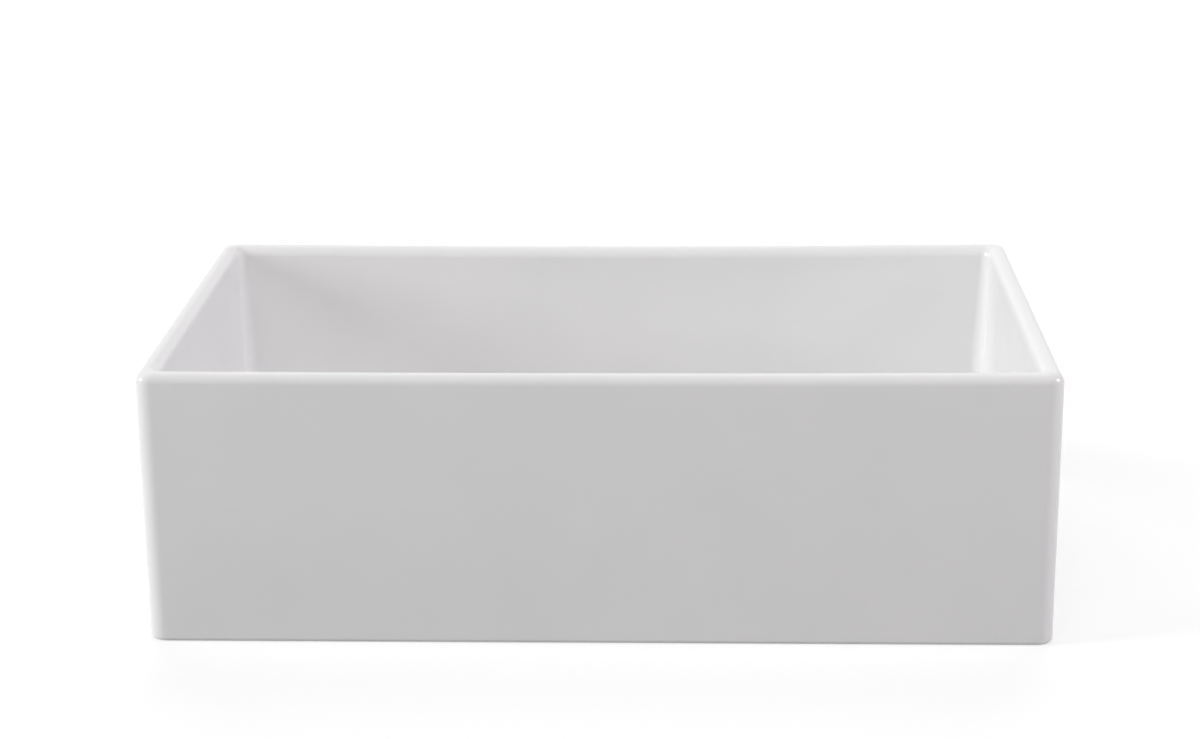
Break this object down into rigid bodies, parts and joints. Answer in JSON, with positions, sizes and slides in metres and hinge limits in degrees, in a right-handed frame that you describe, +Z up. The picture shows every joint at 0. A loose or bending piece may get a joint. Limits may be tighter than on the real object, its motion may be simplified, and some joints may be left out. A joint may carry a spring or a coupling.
{
  "type": "farmhouse apron front sink",
  "caption": "Apron-front kitchen sink with a deep rectangular bowl in white glazed fireclay and a plain front panel; drain with strainer body, lift-out basket and tailpiece.",
  "frame": {"origin": "in the plane that the basin's foot stands on, straight below the centre of the drain, which is also the centre of the basin's plan", "axes": "+X along the apron to the right as one stands at the sink, -Y out through the apron, +Z up; metres"},
  "size_m": [0.838, 0.475, 0.4248],
  "materials": {
    "glazed_fireclay": "glossy white glaze, bare clay on the underside",
    "satin_steel": "satin stainless steel",
    "polished_steel": "polished",
    "brass": "machined, slightly dulled",
    "black_rubber": "matt moulded rubber",
    "fibre": "pressed fibre",
    "putty": "soft putty",
    "white_plastic": "moulded washer",
    "nylon": "natural nylon"
  },
  "bodies": {
    "sink": {"basin": "glazed_fireclay", "flange_seal": "putty", "strainer_body": "satin_steel", "crossbar": "satin_steel", "body_gasket": "black_rubber", "friction_ring": "fibre", "locknut": "brass", "tailpiece_washer": "white_plastic", "tailpiece": "polished_steel", "coupling_nut": "brass"},
    "snap_bush": {"snap_bush": "nylon"},
    "basket": {"basket_cup": "satin_steel", "basket_post": "satin_steel", "basket_knob": "polished_steel", "stopper_backing": "satin_steel", "stopper_seal": "black_rubber", "stopper_washer": "satin_steel", "post_nut": "brass", "bush_retainer": "satin_steel"}
  },
  "joints": [
    {"name": "basket_lift", "type": "slide", "parent": "sink", "child": "snap_bush", "axis": [0, 0, 1], "range_m": [0, 0.33]},
    {"name": "basket_turn", "type": "hinge", "parent": "snap_bush", "child": "basket", "pos_m": [0, 0, -0.045], "axis": [0, 0, 1], "continuous": true}
  ]
}
